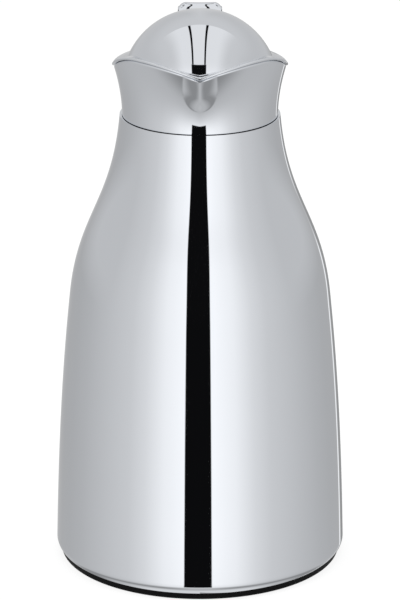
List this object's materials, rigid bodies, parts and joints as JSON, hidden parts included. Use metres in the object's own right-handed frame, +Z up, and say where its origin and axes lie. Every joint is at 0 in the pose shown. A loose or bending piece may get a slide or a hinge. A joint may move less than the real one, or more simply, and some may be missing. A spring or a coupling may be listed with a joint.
{
  "type": "vacuum jug",
  "caption": "Insulated chrome jug for coffee, with a beaked lid on a sprung rear hinge, a thumb lever and a loop handle.",
  "frame": {"origin": "on the jug's vertical axis, in the plane of the foot's underside", "axes": "+Z up along the jug's axis, the beak points along -Y, the handle along +Y, X is the hinge direction"},
  "size_m": [0.138, 0.18, 0.2668],
  "materials": {
    "chrome": "mirror-polished chrome plating",
    "black_plastic": "fine moulded texture",
    "black_rubber": "matt moulded rubber",
    "silvered_glass": "clear glass, silvered on the vacuum side",
    "silicone": "soft satin silicone",
    "steel": "plain bright steel",
    "foam": "closed-cell foam"
  },
  "bodies": {
    "jug": {"outer_shell": "chrome", "base_ring": "black_plastic", "base_plate": "black_plastic", "liner_cushion": "black_rubber", "glass_liner": "silvered_glass", "mouth_seal": "silicone", "neck_ring": "black_plastic", "collar": "chrome", "pour_insert": "black_plastic", "hinge_bracket": "chrome", "hinge_pin": "steel", "lid_spring": "steel", "handle": "chrome", "handle_foot": "chrome", "handle_screws": "steel", "foot_screw": "steel"},
    "lid": {"lid_shell": "chrome", "dome_stud": "steel", "lid_pan": "black_plastic", "pan_nut": "steel", "stopper_cup": "black_plastic", "stopper_core": "foam", "stopper_seal": "silicone", "thumb_lever": "chrome", "lever_screws": "steel"}
  },
  "joints": [
    {"name": "lid_hinge", "type": "hinge", "parent": "jug", "child": "lid", "pos_m": [0, 0.0455, 0.241], "axis": [-1, 0, 0], "range_deg": [0, 75], "stiffness_Nm_per_rad": 0.05, "springref_deg": -40.11, "deforming": ["lid_spring"]}
  ]
}
